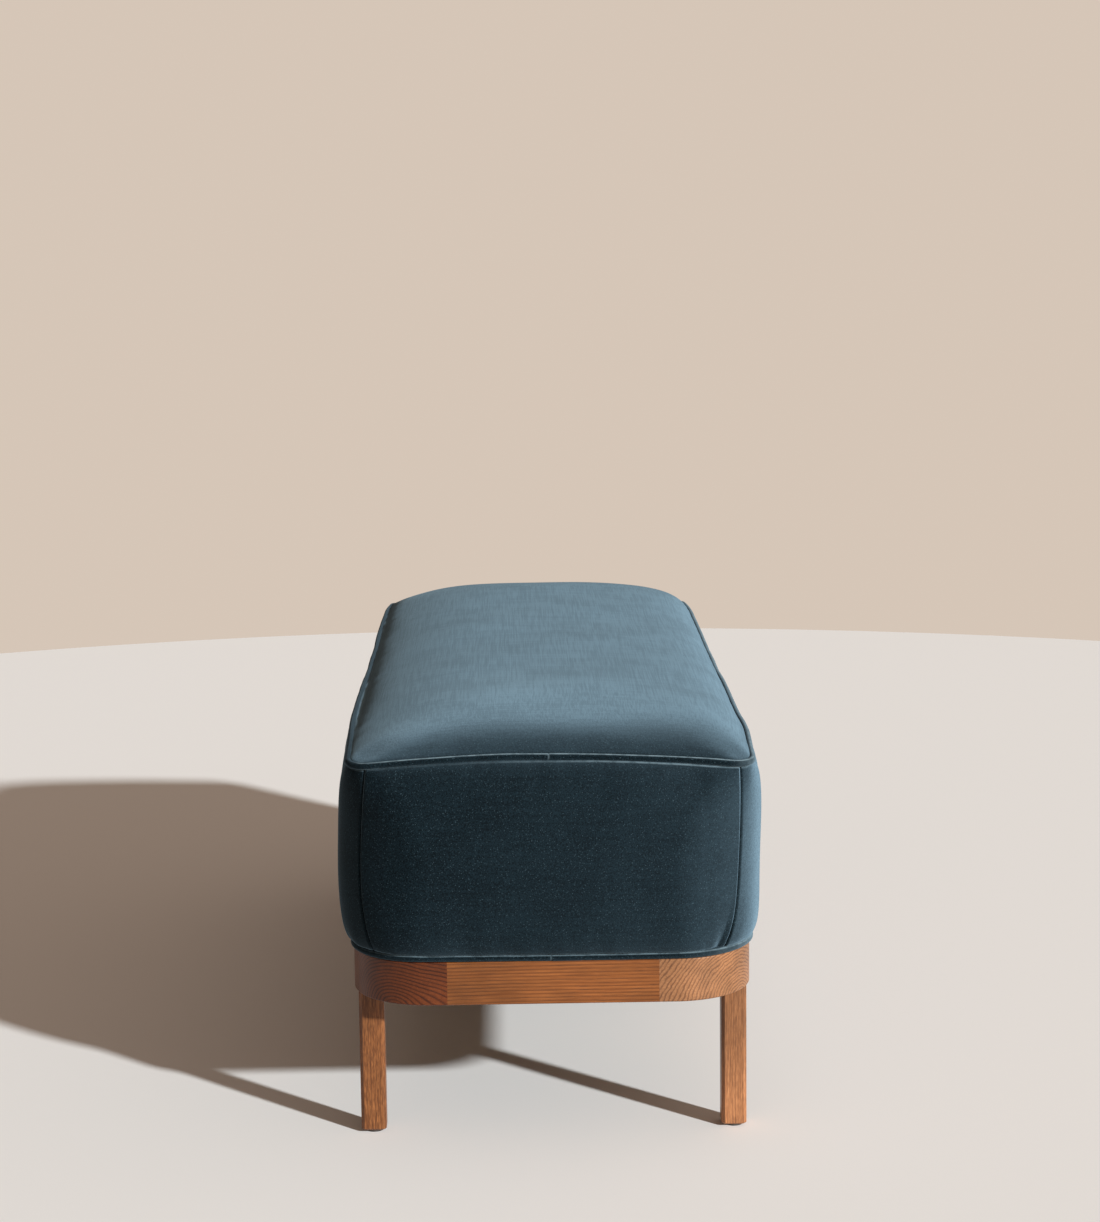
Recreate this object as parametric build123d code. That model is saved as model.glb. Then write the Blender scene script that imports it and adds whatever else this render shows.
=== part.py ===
from build123d import *
import os

# A long upholstered bench. A stained wood plinth on four square legs carries a
# padded box covered in velvet, piped along its top seam and along its foot.
# Sizes are in millimetres. +X is to the right, +Y runs away from the front end,
# +Z is up, and the origin is on the floor under the middle of the bench.

# Whole bench
plinth_length = 1180
plinth_width = 430
plinth_underside = 158     # above the floor
plinth_height = 47
seam_rise = 217            # plinth top to the middle of the top piping
crown_rise = 43            # top piping to the highest point of the seat
side_bulge = 16.5          # how far the padded sides stand past the plinth

# Plinth
rail_width = 35
plinth_radius = 85         # rounded corner, seen from above
block_reach = 102.5        # end or side of the plinth to the joint with a rail
block_bevel = 37           # slanted inner face of a corner block
lower_arris = 2
upper_arris = 1
cross_rail_width = 35
cross_rail_height = 40
cross_rail_place = 200     # from the middle of the bench
dowel_diameter = 10
dowel_length = 44
dowel_spacing = 22

# Legs
leg_width = 27.2
leg_edge_bevel = 3.5
leg_side_setback = 5.2     # plinth side to the outer face of the leg
leg_end_setback = 54       # plinth end to the nearer face of the leg
leg_foot_chamfer = 1.5
bolt_diameter = 8
bolt_length_in_leg = 38
bolt_length_in_block = 30
insert_diameter = 13
insert_length = 25
glide_diameter = 20
glide_height = 3
glide_pin_diameter = 3
glide_pin_length = 12

# Seat frame inside the padding
frame_inset = 18           # plinth outline to the seat frame outline
frame_radius = 60
frame_height = 100
frame_rail_width = 22
frame_cross_height = 60
frame_dowel_diameter = 8
frame_dowel_length = 40
frame_dowel_spacing = 56
screw_head_diameter = 9
screw_head_height = 3.5
screw_diameter = 4.5
screw_length = 72
screw_sink = 12            # plinth underside to the screw head
screw_inset = 28           # plinth side or end to the screw line
screw_corner_inset = 43    # the same for the screw in a corner block
screw_spacing = 300
screw_end_margin = 32.5    # an end rail's joint to the nearer screw
strap_width = 50
strap_thickness = 2
strap_count = 11
strap_lap = 3              # strap end to the outer face of the seat frame
deck_cloth_thickness = 1
dust_cover_thickness = 1
dust_cover_gap = 1

# Soft parts
piping_diameter = 8
piping_proud = 1.5         # how far the piping stands past the plinth
cover_thickness = 2
wadding_thickness = 6
corner_seam_inset = 15     # plinth side to the seam at each end of an end panel
foot_radius = 83           # rounded corner of the padding at its foot
seam_radius = 27           # the same at the top piping
side_seam_inset = 3        # plinth outline to the top edge of a side panel
crown_seam_gap = 2         # middle of the piping up to the edge of the top panel

# Clearances
fit_gap = 0.2              # round a pin, dowel, screw or insert
soft_gap = 0.3             # between soft pieces, and round the piping
overrun = 5                # how far a cutting shape runs past the piece

plinth_top = plinth_underside + plinth_height
half_width = plinth_width / 2
half_length = plinth_length / 2
seam_height = plinth_top + seam_rise
crown_top = seam_height + crown_rise
piping_radius = piping_diameter / 2
frame_top = plinth_top + frame_height
deck_top = frame_top + strap_thickness + deck_cloth_thickness

corners = {
    "front_left": (-1, -1),
    "front_right": (1, -1),
    "back_left": (-1, 1),
    "back_right": (1, 1),
}
sides = {"left": -1, "right": 1}
ends = {"front": -1, "back": 1}


def block(x_low, x_high, y_low, y_high, z_low, z_high):
    """A box between its lowest and highest faces on each axis."""
    middle = ((x_low + x_high) / 2, (y_low + y_high) / 2, (z_low + z_high) / 2)
    return Pos(*middle) * Box(x_high - x_low, y_high - y_low, z_high - z_low)


def to_corner(piece, side, end):
    """Move a piece made at the back right corner to another corner."""
    if side < 0:
        piece = mirror(piece, about=Plane.YZ)
    if end < 0:
        piece = mirror(piece, about=Plane.XZ)
    return piece


def peg(diameter, x, y, z, length, along):
    """A round bar centred at a point, along X, Y or Z."""
    turns = {"x": (0, 90, 0), "y": (90, 0, 0), "z": (0, 0, 0)}
    return Pos(x, y, z) * Rot(*turns[along]) * Cylinder(diameter / 2, length)


def outline(inset, radius, height):
    """The plinth's outline drawn in by an inset, as a face at a height."""
    wide = plinth_width - 2 * inset
    long = plinth_length - 2 * inset
    return Pos(0, 0, height) * RectangleRounded(wide, long, radius)


def prism(inset, radius, low, high):
    """The same outline as an upright solid."""
    return extrude(outline(inset, radius, low), high - low)


def join(pieces):
    """Separate solids kept as one group."""
    return Compound(children=[solid for piece in pieces for solid in piece.solids()])


# Plinth

def plinth_dowel_places():
    """Middle point and direction of each dowel between the plinth's pieces."""
    middle = plinth_underside + plinth_height / 2
    line_x = half_width - rail_width / 2
    line_y = half_length - rail_width / 2
    joint_x = half_width - block_reach
    joint_y = half_length - block_reach
    places = []
    for side, end in corners.values():
        for step in (-1, 1):
            height = middle + step * dowel_spacing / 2
            places.append((side * joint_x, end * line_y, height, "x"))
            places.append((side * line_x, end * joint_y, height, "y"))
            cross_height = plinth_underside + cross_rail_height / 2
            cross_y = end * cross_rail_place
            cross_height += step * dowel_spacing / 2
            places.append((side * (half_width - rail_width), cross_y, cross_height, "x"))
    return places


def plinth_dowels(gap=0):
    diameter = dowel_diameter + 2 * gap
    pegs = []
    for x, y, z, along in plinth_dowel_places():
        pegs.append(peg(diameter, x, y, z, dowel_length, along))
    return pegs


def screw_places():
    """Where the screws rise from the plinth into the seat frame."""
    places = []
    line_x = half_width - screw_inset
    line_y = half_length - screw_inset
    for side in sides.values():
        for step in (-1, 0, 1):
            places.append((side * line_x, step * screw_spacing))
    end_place = half_width - block_reach - screw_end_margin
    for end in ends.values():
        for step in (-1, 1):
            places.append((step * end_place, end * line_y))
    for side, end in corners.values():
        corner_x = half_width - screw_corner_inset
        corner_y = half_length - screw_corner_inset
        places.append((side * corner_x, end * corner_y))
    return places


def frame_screws(gap=0):
    """Screws, or with a gap the holes that they pass through."""
    screws = []
    head_low = plinth_underside + screw_sink
    if gap > 0:
        head_low = plinth_underside - overrun
    head_high = plinth_underside + screw_sink + screw_head_height
    shank_high = plinth_underside + screw_sink + screw_length
    for x, y in screw_places():
        head_length = head_high - head_low
        head = Cylinder(screw_head_diameter / 2 + gap, head_length)
        shank = Cylinder(screw_diameter / 2 + gap, shank_high - head_low)
        head = Pos(x, y, (head_low + head_high) / 2) * head
        shank = Pos(x, y, (head_low + shank_high) / 2) * shank
        screws.append(head + shank)
    return screws


def leg_middle():
    """Centre of the back right leg, seen from above."""
    x = half_width - leg_side_setback - leg_width / 2
    y = half_length - leg_end_setback - leg_width / 2
    return x, y


def insert_pocket():
    """Hole in a corner block for the threaded insert and the end of its bolt."""
    x, y = leg_middle()
    depth = bolt_length_in_block + fit_gap
    low = plinth_underside - overrun
    length = depth + overrun
    return peg(insert_diameter + 2 * fit_gap, x, y, low + length / 2, length, "z")


def plinth_ring():
    """The whole plinth before it is cut into rails and corner blocks."""
    ring = prism(0, plinth_radius, plinth_underside, plinth_top)
    low_edges = ring.edges().group_by(Axis.Z)[0]
    ring = fillet(low_edges, lower_arris)
    top_edges = ring.edges().group_by(Axis.Z)[-1]
    ring = fillet(top_edges, upper_arris)
    inner = Rectangle(plinth_width - 2 * rail_width, plinth_length - 2 * rail_width)
    inner = chamfer(inner.vertices(), block_bevel)
    low = plinth_underside - overrun
    hole = extrude(Pos(0, 0, low) * inner, plinth_height + 2 * overrun)
    return ring - hole


def make_plinth():
    pieces = {}
    ring = plinth_ring()
    cuts = plinth_dowels(fit_gap) + frame_screws(fit_gap)
    low = plinth_underside - overrun
    high = plinth_top + overrun
    joint_x = half_width - block_reach
    joint_y = half_length - block_reach
    outer_x = half_width + overrun
    outer_y = half_length + overrun
    region = block(-joint_x, joint_x, joint_y, outer_y, low, high)
    for name, end in ends.items():
        rail = ring & to_corner(region, 1, end)
        pieces["end_rail_" + name] = rail - cuts
    region = block(joint_x, outer_x, -joint_y, joint_y, low, high)
    for name, side in sides.items():
        rail = ring & to_corner(region, side, 1)
        pieces["side_rail_" + name] = rail - cuts
    region = block(joint_x, outer_x, joint_y, outer_y, low, high)
    for name, (side, end) in corners.items():
        corner = (ring & region) - insert_pocket()
        pieces["corner_block_" + name] = to_corner(corner, side, end) - cuts
    reach = half_width - rail_width
    cross_low = plinth_underside
    cross_high = plinth_underside + cross_rail_height
    half_cross = cross_rail_width / 2
    cross_rail = block(
        -reach, reach, cross_rail_place - half_cross, cross_rail_place + half_cross,
        cross_low, cross_high)
    for name, end in ends.items():
        pieces["cross_rail_" + name] = to_corner(cross_rail, 1, end) - cuts
    pieces["plinth_dowels"] = join(plinth_dowels())
    pieces["frame_screws"] = join(frame_screws())
    return pieces


# Legs

def make_leg():
    """Back right leg with the holes for its bolt and its glide."""
    x, y = leg_middle()
    half = leg_width / 2
    leg = block(x - half, x + half, y - half, y + half, glide_height, plinth_underside)
    leg = chamfer(leg.edges().filter_by(Axis.Z), leg_edge_bevel)
    leg = chamfer(leg.edges().group_by(Axis.Z)[0], leg_foot_chamfer)
    bolt_hole_length = bolt_length_in_leg + overrun
    bolt_hole_middle = plinth_underside + overrun - bolt_hole_length / 2
    bolt_hole_diameter = bolt_diameter + 2 * fit_gap
    leg -= peg(bolt_hole_diameter, x, y, bolt_hole_middle, bolt_hole_length, "z")
    pin_hole_diameter = glide_pin_diameter + 2 * fit_gap
    leg -= peg(pin_hole_diameter, x, y, glide_height, 2 * glide_pin_length, "z")
    return leg


def make_glide():
    x, y = leg_middle()
    disc = peg(glide_diameter, x, y, glide_height / 2, glide_height, "z")
    pin_length = glide_height + glide_pin_length
    return disc + peg(glide_pin_diameter, x, y, pin_length / 2, pin_length, "z")


def make_leg_bolt():
    """A headless bolt, half in the leg and half in the corner block."""
    x, y = leg_middle()
    length = bolt_length_in_leg + bolt_length_in_block
    middle = plinth_underside + (bolt_length_in_block - bolt_length_in_leg) / 2
    return peg(bolt_diameter, x, y, middle, length, "z")


def make_leg_insert():
    x, y = leg_middle()
    middle = plinth_underside + insert_length / 2
    tube = peg(insert_diameter, x, y, middle, insert_length, "z")
    bore = bolt_diameter + 2 * fit_gap
    return tube - peg(bore, x, y, middle, insert_length + 2 * overrun, "z")


def make_legs():
    pieces = {}
    for name, (side, end) in corners.items():
        pieces["leg_" + name] = to_corner(make_leg(), side, end)
        pieces["glide_" + name] = to_corner(make_glide(), side, end)
    bolts = [to_corner(make_leg_bolt(), *signs) for signs in corners.values()]
    inserts = [to_corner(make_leg_insert(), *signs) for signs in corners.values()]
    pieces["leg_bolts"] = join(bolts)
    pieces["leg_inserts"] = join(inserts)
    return pieces


# Seat frame

frame_half_width = half_width - frame_inset
frame_half_length = half_length - frame_inset


def frame_dowels(gap=0):
    """Dowels between the seat frame's rails and corner posts."""
    diameter = frame_dowel_diameter + 2 * gap
    joint_x = frame_half_width - frame_radius
    joint_y = frame_half_length - frame_radius
    line_x = frame_half_width - frame_rail_width / 2
    line_y = frame_half_length - frame_rail_width / 2
    inner_x = frame_half_width - frame_rail_width
    middle = plinth_top + frame_height / 2
    cross_middle = plinth_top + frame_cross_height / 2
    pegs = []
    for side, end in corners.values():
        for step in (-1, 1):
            z = middle + step * frame_dowel_spacing / 2
            x = side * joint_x
            y = end * line_y
            pegs.append(peg(diameter, x, y, z, frame_dowel_length, "x"))
            x = side * line_x
            y = end * joint_y
            pegs.append(peg(diameter, x, y, z, frame_dowel_length, "y"))
        x = side * inner_x
        y = end * cross_rail_place
        length = 2 * frame_rail_width - 2 * strap_lap
        pegs.append(peg(diameter, x, y, cross_middle, length, "x"))
    return pegs


def make_seat_frame():
    pieces = {}
    cuts = frame_dowels(fit_gap) + frame_screws(fit_gap)
    joint_x = frame_half_width - frame_radius
    joint_y = frame_half_length - frame_radius
    inner_x = frame_half_width - frame_rail_width
    inner_y = frame_half_length - frame_rail_width
    rail = block(-joint_x, joint_x, inner_y, frame_half_length, plinth_top, frame_top)
    for name, end in ends.items():
        pieces["seat_end_rail_" + name] = to_corner(rail, 1, end) - cuts
    rail = block(inner_x, frame_half_width, -joint_y, joint_y, plinth_top, frame_top)
    for name, side in sides.items():
        pieces["seat_side_rail_" + name] = to_corner(rail, side, 1) - cuts
    whole = prism(frame_inset, frame_radius, plinth_top, frame_top)
    region = block(
        joint_x, frame_half_width + overrun, joint_y, frame_half_length + overrun,
        plinth_top - overrun, frame_top + overrun)
    for name, (side, end) in corners.items():
        pieces["seat_post_" + name] = to_corner(whole & region, side, end) - cuts
    half_cross = frame_rail_width / 2
    cross_top = plinth_top + frame_cross_height
    rail = block(
        -inner_x, inner_x, cross_rail_place - half_cross, cross_rail_place + half_cross,
        plinth_top, cross_top)
    for name, end in ends.items():
        pieces["seat_cross_rail_" + name] = to_corner(rail, 1, end) - cuts
    pieces["seat_frame_dowels"] = join(frame_dowels())
    return pieces


def make_deck():
    """Webbing across the seat frame, the cloth over it and the cloth below."""
    pieces = {}
    reach = frame_half_width - strap_lap
    strap_top = frame_top + strap_thickness
    run = 2 * (frame_half_length - frame_radius) - strap_width
    pitch = run / (strap_count - 1)
    straps = []
    for number in range(strap_count):
        y = number * pitch - run / 2
        strap = block(
            -reach, reach, y - strap_width / 2, y + strap_width / 2, frame_top, strap_top)
        straps.append(strap)
    pieces["webbing_straps"] = join(straps)
    pieces["deck_cloth"] = prism(
        frame_inset + strap_lap, frame_radius - strap_lap, strap_top, deck_top)
    inset = rail_width + dust_cover_gap
    sheet = Rectangle(plinth_width - 2 * inset, plinth_length - 2 * inset)
    sheet = chamfer(sheet.vertices(), block_bevel)
    low = plinth_top - dust_cover_thickness
    pieces["dust_cover"] = extrude(Pos(0, 0, low) * sheet, dust_cover_thickness)
    return pieces


# Soft parts

# Profile of a padded side from its foot to its top edge: how high each section is,
# how far it stands out, and how far its corners have turned from the foot's
# rounding to the top piping's, as shares of the side's height, bulge and rounding.
side_height_shares = (0, 0.05, 0.15, 0.32, 0.52, 0.72, 0.88, 0.96, 1)
side_bulge_shares = (0, 0.38, 0.70, 0.95, 1, 0.88, 0.62, 0.25, 0)
side_radius_shares = (0, 0, 0, 0.02, 0.06, 0.23, 0.58, 0.85, 1)

# Profile of the crowned top from the piping to its flat middle: how far in each
# section lies, how high it is, and how round its corners are.
crown_inset_shares = (0, 0.06, 0.15, 0.28, 0.45, 0.62, 0.80)
crown_height_shares = (0, 0.19, 0.45, 0.70, 0.88, 0.965, 1)
crown_radius_shares = (0.13, 0.17, 0.24, 0.36, 0.52, 0.70, 0.86)

foot_height = plinth_top + soft_gap + piping_diameter + soft_gap
side_top = seam_height - piping_radius - soft_gap
crown_base = seam_height + crown_seam_gap
crown_base_inset = piping_diameter - piping_proud + soft_gap


def side_sections(inset):
    """Sections of the padding's side, drawn in by an inset."""
    faces = []
    for rise, bulge, turn in zip(
            side_height_shares, side_bulge_shares, side_radius_shares):
        height = foot_height + rise * (side_top - foot_height)
        out = bulge * side_bulge - rise * side_seam_inset
        radius = foot_radius + turn * (seam_radius - foot_radius)
        faces.append(outline(inset - out, radius + out - inset, height))
    return faces


def crown_sections(inset):
    """Sections of the crowned top, drawn in and lowered by an inset."""
    faces = []
    for share, rise, round_share in zip(
            crown_inset_shares, crown_height_shares, crown_radius_shares):
        section_inset = crown_base_inset + inset + share * (half_width - crown_base_inset)
        section_inset -= share * inset
        height = crown_base - inset + rise * (crown_top - crown_base)
        radius = round_share * half_width
        if share > 0:
            radius = min(radius, half_width - section_inset - soft_gap)
        faces.append(outline(section_inset, radius, height))
    return faces


def side_body(inset):
    return loft(side_sections(inset))


def crown_body(inset):
    return loft(crown_sections(inset))


def padding(inset):
    """The whole padded form, drawn in by an inset, from its foot to its crown."""
    waist_radius = crown_radius_shares[0] * half_width
    waist_inset = crown_base_inset + inset
    waist = prism(waist_inset, waist_radius, side_top, crown_base)
    upper = crown_body(inset) & block(
        -plinth_width, plinth_width, -plinth_length, plinth_length, side_top, crown_top)
    return side_body(inset) + waist + upper


def make_padding():
    pieces = {}
    wadding_inset = cover_thickness + soft_gap
    foam_inset = wadding_inset + wadding_thickness + soft_gap
    foam = padding(foam_inset)
    pieces["wadding"] = padding(wadding_inset) - padding(wadding_inset + wadding_thickness)
    far_x = plinth_width
    far_y = plinth_length
    above = block(-far_x, far_x, -far_y, far_y, deck_top, crown_top + overrun)
    pieces["foam_core"] = foam & above
    room = prism(
        frame_inset - soft_gap, frame_radius + soft_gap, plinth_top, crown_top)
    skirt = (foam - above) - room
    split_y = frame_half_length - frame_radius
    for name, end in ends.items():
        region = block(-far_x, far_x, split_y, far_y, plinth_top, deck_top - soft_gap)
        pieces["end_foam_" + name] = skirt & to_corner(region, 1, end)
    for name, side in sides.items():
        region = block(0, far_x, -split_y, split_y, plinth_top, deck_top - soft_gap)
        pieces["side_foam_" + name] = skirt & to_corner(region, side, 1)
    return pieces


def make_covers():
    pieces = {}
    pieces["cover_top"] = crown_body(0) - crown_body(cover_thickness)
    shell = side_body(0) - side_body(cover_thickness)
    seam_x = half_width - corner_seam_inset
    far_x = plinth_width
    far_y = plinth_length
    for name, end in ends.items():
        region = block(-seam_x, seam_x, 0, far_y, plinth_top, seam_height)
        pieces["cover_end_" + name] = shell & to_corner(region, 1, end)
    for name, side in sides.items():
        region = block(seam_x, far_x, -far_y, far_y, plinth_top, seam_height)
        pieces["cover_side_" + name] = shell & to_corner(region, side, 1)
    return pieces


def make_piping(corner_radius, height):
    """A round cord along the outline, standing a little past the plinth."""
    inset = piping_radius - piping_proud
    path = outline(inset, corner_radius, height).wire()
    start = Plane(origin=path @ 0, z_dir=path % 0)
    return sweep(start * Circle(piping_radius), path=path)


def make_soft_parts():
    pieces = make_padding()
    pieces.update(make_covers())
    low_height = plinth_top + soft_gap + piping_radius
    pieces["piping_bottom"] = make_piping(foot_radius - piping_radius, low_height)
    pieces["piping_top"] = make_piping(seam_radius, seam_height)
    return pieces


os.makedirs("parts", exist_ok=True)
nodes = {}
nodes.update(make_plinth())
nodes.update(make_legs())
nodes.update(make_seat_frame())
nodes.update(make_deck())
nodes.update(make_soft_parts())
for name, piece in nodes.items():
    export_step(piece, "parts/" + name + ".step")
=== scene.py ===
import math
import bpy
import numpy as np
from mathutils import Matrix, Vector


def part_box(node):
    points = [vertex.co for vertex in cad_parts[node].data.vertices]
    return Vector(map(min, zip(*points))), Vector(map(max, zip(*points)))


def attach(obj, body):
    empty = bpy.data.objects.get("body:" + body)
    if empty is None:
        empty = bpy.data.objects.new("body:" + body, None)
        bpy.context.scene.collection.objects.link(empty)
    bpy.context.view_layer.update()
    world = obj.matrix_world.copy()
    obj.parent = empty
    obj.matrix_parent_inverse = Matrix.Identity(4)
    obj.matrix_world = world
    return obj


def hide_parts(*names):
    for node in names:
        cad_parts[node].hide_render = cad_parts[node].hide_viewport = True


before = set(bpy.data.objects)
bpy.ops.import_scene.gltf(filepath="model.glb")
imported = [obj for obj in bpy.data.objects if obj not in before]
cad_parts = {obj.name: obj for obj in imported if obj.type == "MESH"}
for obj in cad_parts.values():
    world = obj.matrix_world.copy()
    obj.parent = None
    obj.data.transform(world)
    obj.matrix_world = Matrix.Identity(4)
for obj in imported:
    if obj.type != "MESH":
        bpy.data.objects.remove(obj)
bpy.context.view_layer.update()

# Plinth rails. Two end rails and two side rails of ash, planed straight, oil
# stained a warm orange brown and left satin. Each meets the corner blocks in
# a plain dowelled butt joint.


def set_sockets(tree, node, sockets):
    """Set a node's sockets. One given another node's output is linked to it."""
    for key, value in sockets.items():
        if isinstance(value, bpy.types.NodeSocket):
            tree.links.new(value, node.inputs[key])
        else:
            node.inputs[key].default_value = value


def add_node(tree, kind, sockets=None, **settings):
    made = tree.nodes.new(kind)
    for key, value in settings.items():
        setattr(made, key, value)
    set_sockets(tree, made, sockets or {})
    return made


def maths(tree, operation, first, second=0.0, clamp=False):
    made = add_node(tree, "ShaderNodeMath", {0: first, 1: second},
                    operation=operation, use_clamp=clamp)
    return made.outputs[0]


def scaled(tree, value, share, added):
    return maths(tree, "ADD", maths(tree, "MULTIPLY", value, share), added)


def vector_maths(tree, operation, first, second=(0, 0, 0)):
    key = "Scale" if operation == "SCALE" else 1
    made = add_node(tree, "ShaderNodeVectorMath", {0: first, key: second}, operation=operation)
    return made.outputs["Value" if operation in ("DOT_PRODUCT", "LENGTH") else "Vector"]


def noise(tree, vector, scale, detail=2.0, roughness=0.5):
    made = add_node(tree, "ShaderNodeTexNoise",
                    {"Vector": vector, "Scale": scale, "Detail": detail, "Roughness": roughness})
    return made.outputs[0]


def place_on_piece(tree):
    return add_node(tree, "ShaderNodeTexCoord").outputs["Object"]


def ramp(tree, value, stops, smooth=True):
    """Colours along a value from 0 to 1; each stop is a place and a colour."""
    made = add_node(tree, "ShaderNodeValToRGB", {0: value})
    made.color_ramp.interpolation = "EASE" if smooth else "LINEAR"
    marks = made.color_ramp.elements
    while len(marks) < len(stops):
        marks.new(0.5)
    for mark, (place, colour) in zip(marks, stops):
        mark.position = place
        mark.color = (*colour, 1.0)
    return made.outputs["Color"]


def greys(*stops):
    """Stops in plain grey, each given as a place and a level."""
    return [(place, (level, level, level)) for place, level in stops]


def mix_colour(tree, share, first, second, blend="MIX"):
    made = add_node(tree, "ShaderNodeMix", {0: share}, data_type="RGBA", blend_type=blend)
    for key, colour in ((6, first), (7, second)):
        plain = not isinstance(colour, bpy.types.NodeSocket)
        set_sockets(tree, made, {key: (*colour, 1.0) if plain else colour})
    return made.outputs[2]


def shaded(tree, colour, *shades):
    """A colour times each of these shades."""
    for shade in shades:
        colour = mix_colour(tree, 1.0, colour, shade, "MULTIPLY")
    return colour


def bumped(tree, height, strength, depth):
    """The way a surface faces once light catches a height on it."""
    made = add_node(tree, "ShaderNodeBump",
                    {"Strength": strength, "Distance": depth, "Height": height})
    return made.outputs[0]


def new_material(name):
    material = bpy.data.materials.new(name)
    material.use_nodes = True
    tree = material.node_tree
    return material, tree, tree.nodes["Principled BSDF"]


ash_light = (0.300, 0.100, 0.025)
ash_mid = (0.210, 0.064, 0.015)
ash_dark = (0.072, 0.019, 0.005)
ash_pore = (0.040, 0.012, 0.004)
ash_gloss = 0.28
ash_roughness = 0.36
pore_roughness = 0.35
grain_depth = 0.0004
fibre_height = 0.25

# How far each figure in the wood is drawn out along the grain, as the share of
# its length that counts, and then its scale, detail and roughness.
wood_figures = {
    "slow sway": (0.35, 14.0, 1.5, 0.5),
    "quick sway": (0.12, 90.0, 2.0, 0.5),
    "fibre": (0.035, 700.0, 3.0, 0.6),
    "fine fibre": (0.02, 2200.0, 2.0, 0.6),
    "pore": (0.035, 1700.0, 1.0, 0.4),
    "uneven ring": (0.04, 150.0, 2.0, 0.5),
    "patch": (0.3, 9.0, 2.0, 0.5),
    "short streak": (0.12, 900.0, 2.0, 0.6),
    "zone": (0.4, 30.0, 2.0, 0.5),
}
ring_width = 0.0042
ring_shades = greys((0.0, 0.50), (0.12, 0.90), (0.28, 0.50), (0.44, 0.08), (0.84, 0.03), (1.0, 0.50))
ring_strength = 0.42
faintest_ring = 0.66
slow_sway_share = 4
patch_strength = 0.35
pores_in_ring = 0.40
pores_between = 0.13
fade_start = 0.115
fade_length = 0.125


def stained_ash(name, heart, along, wobble=0.0035, ring=ring_width, tone=(1, 1, 1),
                rings=0.86, streaks=0.0, fade=0.0):
    """Ash cut from a log: rings round a heart line, and pores, fibres and short streaks along it. A fade
    darkens the end that the line starts from: on the legs it is painted shade at the top, under the
    blocks, and on the end rails it darkens their left ends."""
    material, tree, shader = new_material(name)
    axis = Vector(along).normalized()
    from_heart = vector_maths(tree, "SUBTRACT", place_on_piece(tree), heart)
    run = vector_maths(tree, "DOT_PRODUCT", from_heart, axis)

    def squeezed(share):
        """Place in the wood with its length along the grain shortened to a share."""
        shift = vector_maths(tree, "SCALE", axis, maths(tree, "MULTIPLY", run, 1.0 - share))
        return vector_maths(tree, "SUBTRACT", from_heart, shift)

    def figure(kind):
        drawn_out, scale, detail, roughness = wood_figures[kind]
        return noise(tree, squeezed(drawn_out), scale, detail, roughness)

    def sway(kind, reach):
        return maths(tree, "MULTIPLY", maths(tree, "SUBTRACT", figure(kind), 0.5), reach)

    swayed = vector_maths(tree, "LENGTH", squeezed(0.0))
    swayed = maths(tree, "ADD", swayed, sway("slow sway", wobble * slow_sway_share))
    swayed = maths(tree, "ADD", swayed, sway("quick sway", wobble))
    early = ramp(tree, maths(tree, "FRACT", maths(tree, "DIVIDE", swayed, ring)), ring_shades)
    fibre = figure("fibre")
    fine = figure("fine fibre")
    early_share = maths(tree, "MULTIPLY", maths(tree, "ADD", fibre, ring_strength), early, clamp=True)
    uneven = ramp(tree, figure("uneven ring"), greys((0.35, faintest_ring * rings), (0.60, rings)))
    early_share = maths(tree, "MULTIPLY", early_share, uneven, clamp=True)
    pore_mask = ramp(tree, figure("pore"), greys((0.56, 0.0), (0.66, 1.0)))
    pore_share = maths(tree, "MULTIPLY", pore_mask, scaled(tree, early, pores_in_ring, pores_between))

    wood = mix_colour(tree, ramp(tree, fibre, greys((0.3, 0.0), (0.7, 1.0))), ash_mid, ash_light)
    wood = mix_colour(tree, maths(tree, "MULTIPLY", figure("patch"), patch_strength), wood, ash_mid)
    wood = mix_colour(tree, early_share, wood, ash_dark)
    wood = mix_colour(tree, pore_share, wood, ash_pore)
    if streaks:
        short = ramp(tree, figure("short streak"), greys((0.38, streaks), (0.62, 0.0)))
        wood = mix_colour(tree, short, wood, ash_dark)
    tint = ramp(tree, fine, greys((0.25, 0.82), (0.75, 1.14)))
    zones = ramp(tree, figure("zone"), greys((0.36, 0.86), (0.64, 1.14)))
    from_dark_end = maths(tree, "MULTIPLY", maths(tree, "ADD", run, fade_start), 1 / fade_length)
    darker_end = ramp(tree, from_dark_end, greys((0.0, 1.0 - fade), (1.0, 1.0)))
    height = maths(tree, "SUBTRACT", maths(tree, "MULTIPLY", fine, fibre_height), pore_share)
    set_sockets(tree, shader, {
        "Base Color": shaded(tree, wood, shaded(tree, tint, zones, darker_end), tone),
        "Roughness": scaled(tree, pore_share, pore_roughness, ash_roughness),
        "Specular IOR Level": ash_gloss,
        "Normal": bumped(tree, height, 0.35, grain_depth)})
    return material


def finish_node(name, material):
    """Give a part of the frame its material in place of the plain one."""
    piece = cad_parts[name]
    piece.data.materials.clear()
    piece.data.materials.append(material)


half_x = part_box("side_rail_right")[1].x
half_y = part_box("end_rail_back")[1].y
near_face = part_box("end_rail_front")[0].y
plinth_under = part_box("end_rail_front")[0].z

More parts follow.
